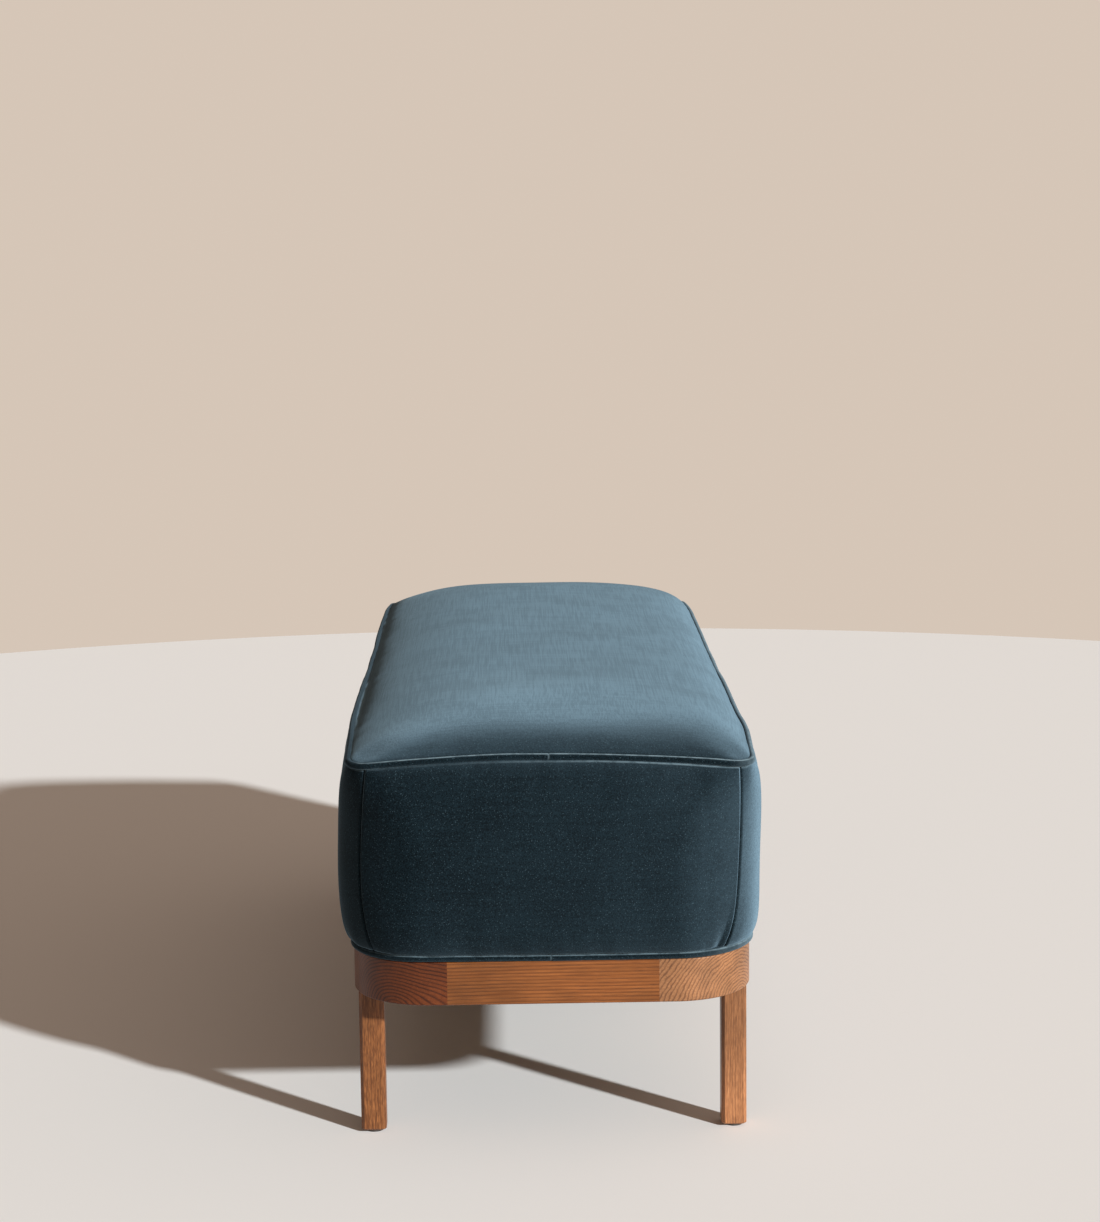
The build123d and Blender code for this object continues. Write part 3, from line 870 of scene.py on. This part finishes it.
# Velvet top. One panel of the same velvet over wadding and a foam pad, crowned
# along the middle and rolled down on all sides to the top seam.
# Painted sheen on the top: how pale it is painted from straight on to edge on.
top_sheen_rise = [(0.0, 0.02), (0.35, 0.09), (0.50, 0.165), (0.60, 0.235), (0.70, 0.34),
            (0.82, 0.555), (0.90, 0.64), (0.95, 0.63), (1.0, 0.55)]
# Painted light and shade patches on the top: paler left of the middle towards the near end and at the
# near left corner, darker at the near right corner.
top_velvet = velvet("velvet_of_top", (0.08, 0.12, 0.0), top_sheen_rise, sheen_patches=[
    ((-0.05, -0.42, 0.45), (0.18, 0.24, 1.0), 0.15),
    ((-0.17, -0.56, 0.43), (0.12, 0.12, 1.0), 0.50),
    ((0.17, -0.56, 0.43), (0.11, 0.11, 1.0), -0.30)])

crown_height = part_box("cover_top")[1].z
crown_edge_inset = 0.0028
crown_cell = 0.0044
even_spacing = 0.45
rounded_off_by = 0.10
widest_round = 0.62
side_reach_blend = 0.30

# How each edge rolls up: the share that it climbs at once, and over what width.
near_roll = (0.57, 0.0162)
far_roll = (0.52, 0.0178)
left_roll = (0.10, 0.012)
right_roll = (0.58, 0.0188)
end_reach = 0.220
left_roll_curve = 3.1
corner_hold = 0.008
cord_bed = 0.0013
cord_bed_width = 0.0011
crown_gathers = (0.0004, 0.03, (0.012, 0.010, 0.05))
crown_settling_sizes = (0.05, 0.06)

# The panel's hidden underside, and the painted shade in the crease beside the cord.
under_shares = (0.99, 0.997, 1)
under_depth = 0.020
least_thickness = 0.004
cord_painted_shade = 0.7
cord_shade_less_left = 0.6
cord_shade_width, cord_shade_softness = 0.0016, 0.0006


def roll_up(gap, quick, edge, reach, curve=2):
    """Rise from 0 at a seam to 1 at a reach from it, part of it at once over the edge."""
    return quick * (1 - np.exp(-gap / edge)) + (1 - quick) * (
        1 - np.clip(1 - gap / reach, 0, 1) ** curve)


def crown_rise(x, y, from_end, inset, wide, long):
    """How far the top has risen above its seam, from 0 to 1. It climbs from each
    side and from each end, so its corners stay low and full. The right side
    rolls up quickly and is flat from there."""
    from_side = np.maximum(wide - np.abs(x), 0)
    from_close = np.maximum(long - np.abs(y), 0)
    quick, edge = (np.where(y < 0, near, far) for near, far in zip(near_roll, far_roll))
    end_lift = roll_up(from_close, quick, edge, end_reach)
    on_left = roll_up(from_side, *left_roll, wide, left_roll_curve)
    on_right = roll_up(from_side, *right_roll, wide)
    rightness = np.clip(0.5 + x / side_reach_blend, 0, 1)
    side_lift = on_left + (on_right - on_left) * rightness
    held = np.sin(2 * from_end) ** 2 * np.exp(-inset / corner_hold)
    return side_lift * end_lift * (1 - held)


def top_plan(wide, long):
    """The top seen from above, as loops of its outline that close in on the middle: each
    point's place, how far it has turned from an end to a side, and how far it is in."""
    loops = int(wide / crown_cell)
    step = wide / loops
    columns = 2 * loops + 1
    rows = columns + 2 * int((long - wide) / step / 2)
    j, i = np.meshgrid(np.arange(rows), np.arange(columns), indexing="ij")
    loop = np.minimum(np.minimum(i, columns - 1 - i), np.minimum(j, rows - 1 - j))
    share = loop / loops
    inset = wide * ((1 - even_spacing) * share ** 1.5 + even_spacing * share)
    inner_x = wide - inset
    inner_y = long - inset
    span_x = (columns - 1) / 2 - loop
    span_y = (rows - 1) / 2 - loop
    nothing = 1e-9
    across = np.where(span_x > 0, (i - (columns - 1) / 2) / np.maximum(span_x, nothing), 0)
    along = (j - (rows - 1) / 2) / span_y
    blended = np.clip(inset / rounded_off_by, 0, 1)
    radius = seam_radius + (widest_round * inner_x - seam_radius) * blended
    radius = np.minimum(radius, inner_x * 0.98)
    square_x = across * inner_x
    square_y = along * inner_y
    to_corner_x = inner_x - np.abs(square_x)
    to_corner_y = inner_y - np.abs(square_y)
    on_side = to_corner_x <= to_corner_y
    near = np.where(on_side, to_corner_y, to_corner_x)
    turn = math.pi / 4 * np.clip(1 - near / np.maximum(radius, nothing), 0, 1)
    from_end = np.where(on_side, math.pi / 2 - turn, turn)
    in_arc = near < radius
    round_x = np.sign(square_x) * (inner_x - radius + radius * np.sin(from_end))
    round_y = np.sign(square_y) * (inner_y - radius + radius * np.cos(from_end))
    return np.where(in_arc, round_x, square_x), np.where(in_arc, round_y, square_y), from_end, inset


def make_top_panel():
    wide = half_x - crown_edge_inset
    long = half_y - crown_edge_inset
    x, y, from_end, inset = top_plan(wide, long)
    x, y = bowed(x, y)
    lift = crown_rise(x, y, from_end, inset, wide, long)
    base = seam_height + beside_cord
    hang = droop(x, y) * np.clip(1 - inset / rounded_off_by, 0, 1) ** 1.5
    z = base + (crown_height - base) * lift - hang
    z -= cord_bed * swell(inset, 0, cord_bed_width)
    settle = settling * ripple(62, crown_settling_sizes, x, y)
    z += gathers(61, crown_gathers, inset, y, x, inset) + settle * np.clip(inset / settling_edge, 0, 1)
    points = np.stack([x, y, z], -1)
    under = points * np.array(under_shares)
    under[..., 2] = np.minimum(seam_height - under_depth, points[..., 2] - least_thickness)
    towards_left = 1 - cord_shade_less_left * np.clip(-x / wide, 0, 1) ** 6
    # Painted shade in the crease beside the cord, weaker towards the left.
    painted_seam_light_and_shade = -cord_painted_shade * seam_line(inset, behind_seam, cord_shade_width, cord_shade_softness) * towards_left
    cover_with("velvet_top", points, under, painted_seam_light_and_shade, top_velvet, ["cover_top", "foam_core", "wadding"])


make_top_panel()

# Piping. A cord in a bias-cut strip of the same velvet is sewn into the top
# seam and along the foot, and its ends meet at the middle of the near end.
# Pale painted highlight lines run along both of its stitched edges.
# The piping's painted sheen is painted at 0.62 of the walls'.
piping_velvet = velvet("piping_velvet", (0.10, 0.0, 0.0), wall_sheen_rise, fullness=0.62)
cord_stations = 1200
cord_sides = 36
station_gap_at_join = 0.3
cord_wander = 0.0006
sideways_size, upward_size = 0.035, 0.040
cord_unevenness = 0.04
unevenness_size = 0.012
join_at = -0.002
join_width = 0.0007
join_pinch = 0.12
join_line = 0.4
overlap_end = 0.03
overlap_fullness = 1.06
line_width = 0.40
line_edge = 0.12
lower_line_start = 0.76
lower_line_edge = 0.10
outward_from = -0.1
weaker_on_left, weaker_on_right = 0.9, 0.45
painted_shade_on_left, painted_light_on_right = 0.55, 0.30
inner_face_until, inner_face_edge = 0.80, 0.25
outer_face_from, outer_face_edge = 0.10, 0.40


def cord_lines(angle, out_x, join, line_start, upper_line, lower_line):
    """Painted highlight lines round the cord, along it and across its join. The lines are weaker on the
    sides, and the cord is painted darker on the left side as shade and paler on the right as light."""
    across, upward = np.cos(angle)[None, :], np.sin(angle)[None, :]
    outward = across > outward_from
    upper = upper_line * np.clip((upward - line_start) / line_edge, 0, 1) * outward
    upper = upper * np.clip((line_start + line_width - upward) / line_edge, 0, 1)
    lower = lower_line * np.clip((-upward - lower_line_start) / lower_line_edge, 0, 1) * outward
    on_left = np.clip(-out_x, 0, 1)[:, None] ** 2
    on_right = np.clip(out_x, 0, 1)[:, None] ** 2
    along_side = 1 - weaker_on_left * on_left - weaker_on_right * on_right
    across_join = join_line * join[:, None] * (across > 0)
    painted_seam_light_and_shade = np.maximum(np.maximum(upper, lower) * along_side, across_join)
    inner_face = np.clip((inner_face_until - across) / inner_face_edge, 0, 1)
    outer_face = np.clip((across - outer_face_from) / outer_face_edge, 0, 1)
    return painted_seam_light_and_shade + painted_light_on_right * on_right * outer_face - painted_shade_on_left * on_left * inner_face


def make_piping(name, node_name, height, cord, corner_radius, drooped, seed, **lines):
    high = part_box(node_name)[1]
    wide, long = high.x - cord, high.y - cord
    whole = 2 * half_round(wide, long, corner_radius)
    share = np.linspace(-0.5, 0.5, cord_stations, endpoint=False)
    from_join = (2 * np.abs(share)) ** 1.5
    length = share * whole * (station_gap_at_join + (1 - station_gap_at_join) * from_join)
    x, y, out_x, out_y = outline(length, wide, long, corner_radius)
    x, y = bowed(x, y)
    wander = cord_wander * ripple(seed, [sideways_size], length)
    lift = cord_wander * ripple(seed + 1, [upward_size], length)
    z = height + lift - (droop(x, y) if drooped else 0)
    x, y = x + out_x * wander, y + out_y * wander
    join = swell(length, join_at, join_width)
    overlap = np.where((length > join_at) & (length < overlap_end), overlap_fullness, 1.0)
    radius = cord * (1 + cord_unevenness * ripple(seed + 2, [unevenness_size], length))
    radius = radius * (1 - join_pinch * join) * overlap
    angle = np.linspace(0, 2 * math.pi, cord_sides, endpoint=False)
    ring_out = radius[:, None] * np.cos(angle)[None, :]
    ring_up = radius[:, None] * np.sin(angle)[None, :]
    points = np.stack([x[:, None] + out_x[:, None] * ring_out,
                       y[:, None] + out_y[:, None] * ring_out,
                       z[:, None] + ring_up], -1).reshape(-1, 3)
    index = np.arange(cord_stations * cord_sides).reshape(cord_stations, cord_sides)
    ahead = np.roll(index, -1, axis=0)
    faces = np.stack([index, ahead, np.roll(ahead, -1, axis=1), np.roll(index, -1, axis=1)], -1)
    painted_seam_light_and_shade = cord_lines(angle, out_x, join, **lines)
    piece = soft_piece(name, points, faces.reshape(-1, 4), painted_seam_light_and_shade.ravel(), piping_velvet)
    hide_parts(node_name)


make_piping("piping_seam", "piping_top", seam_height, cord_radius, seam_radius,
            drooped=True, seed=71, line_start=0.76, upper_line=0.85, lower_line=0.9)
make_piping("piping_foot", "piping_bottom", foot_low.z + foot_cord_radius, foot_cord_radius,
            foot_radius - foot_cord_radius,
            drooped=False, seed=81, line_start=0.45, upper_line=0.60, lower_line=0.0)

# Floor. A plain pale floor, smooth and matt, carries the bench and takes its
# shadow. It isn't part of the bench.
floor_colour = (0.86, 0.83, 0.81, 1.0)
floor_reach = 3.0
floor_sides = 120


def make_floor():
    material, tree, shader = new_material("pale_floor")
    set_sockets(tree, shader, {
        "Base Color": floor_colour, "Roughness": 0.75, "Specular IOR Level": 0.2})
    mesh = bpy.data.meshes.new("floor")
    turns = [2 * math.pi * step / floor_sides for step in range(floor_sides)]
    rim = [(floor_reach * math.cos(turn), floor_reach * math.sin(turn), 0) for turn in turns]
    mesh.from_pydata(rim, [], [range(floor_sides)])
    mesh.materials.append(material)
    floor = bpy.data.objects.new("floor", mesh)
    bpy.context.scene.collection.objects.link(floor)


make_floor()

# Camera. It looks along the bench from its near end, a little from above, and
# leans slightly to one side as the photograph does. Its lens is given in
# pixels of the photograph's height.
photo_height = 1222
focal_pixels = 2700
camera_place = Vector((-0.0393, -3.3606, 0.9942))
camera_pitch = math.radians(8.511)
camera_yaw = math.radians(-0.836)
camera_roll = -0.0119


def make_camera():
    data = bpy.data.cameras.new("camera")
    data.sensor_width = 36
    data.lens = focal_pixels * data.sensor_width / photo_height
    data.clip_end = 200
    camera = bpy.data.objects.new("camera", data)
    ahead = Vector((-math.sin(camera_yaw) * math.cos(camera_pitch),
                    math.cos(camera_yaw) * math.cos(camera_pitch), -math.sin(camera_pitch)))
    level = Vector((math.cos(camera_yaw), math.sin(camera_yaw), 0))
    upward = level.cross(ahead)
    right = level * math.cos(camera_roll) + upward * math.sin(camera_roll)
    up = upward * math.cos(camera_roll) - level * math.sin(camera_roll)
    turned = Matrix((right, up, -ahead)).transposed()
    camera.matrix_world = Matrix.Translation(camera_place) @ turned.to_4x4()
    bpy.context.scene.collection.objects.link(camera)
    bpy.context.scene.camera = camera


make_camera()

# Light. A soft low sun stands to the right of the near end, and pale
# surroundings fill the shade, more from the sun's side than from the other.
sun_from = Vector((0.717, -0.697, 0.0))
sun_height = math.radians(22)
sun_spread = math.radians(2.5)
sun_strength = 5.4
sun_colour = (0.92, 0.98, 1.0)
fill_colour = (0.86, 0.66, 0.52, 1.0)
fill_from = (0.75, -0.35, 0.56)
fill_darkest_at, fill_lightest_at = -0.52, 0.9
fill_least, fill_most = 0.02, 0.50
seen_colour = (0.67, 0.565, 0.475, 1.0)


def make_sun():
    data = bpy.data.lights.new("sun", "SUN")
    data.angle = sun_spread
    data.energy = sun_strength
    data.color = sun_colour
    sun = bpy.data.objects.new("sun", data)
    toward = sun_from * math.cos(sun_height) + Vector((0, 0, math.sin(sun_height)))
    sun.rotation_mode = "QUATERNION"
    sun.rotation_quaternion = toward.to_track_quat("Z", "Y")
    bpy.context.scene.collection.objects.link(sun)


def make_surroundings():
    world = bpy.data.worlds.new("surroundings")
    bpy.context.scene.world = world
    world.use_nodes = True
    tree = world.node_tree
    facing = add_node(tree, "ShaderNodeTexCoord").outputs["Generated"]
    lit_side = vector_maths(tree, "DOT_PRODUCT", facing, fill_from)
    fill = add_node(tree, "ShaderNodeMapRange", {0: lit_side, 1: fill_darkest_at, 2: fill_lightest_at,
                                                 3: fill_least, 4: fill_most},
                    interpolation_type="SMOOTHSTEP").outputs[0]
    light = tree.nodes["Background"]
    set_sockets(tree, light, {"Color": fill_colour, "Strength": fill})
    seen = add_node(tree, "ShaderNodeBackground", {"Color": seen_colour, "Strength": 1.0})
    path = add_node(tree, "ShaderNodeLightPath").outputs
    rays = maths(tree, "ADD", path["Is Camera Ray"], path["Is Glossy Ray"], clamp=True)
    rays = maths(tree, "ADD", rays, path["Is Transmission Ray"], clamp=True)
    both = add_node(tree, "ShaderNodeMixShader", {0: rays, 1: light.outputs[0], 2: seen.outputs[0]})
    tree.links.new(both.outputs[0], tree.nodes["World Output"].inputs["Surface"])


make_sun()
make_surroundings()
bpy.context.scene.view_settings.view_transform = "Standard"

bpy.context.view_layer.update()
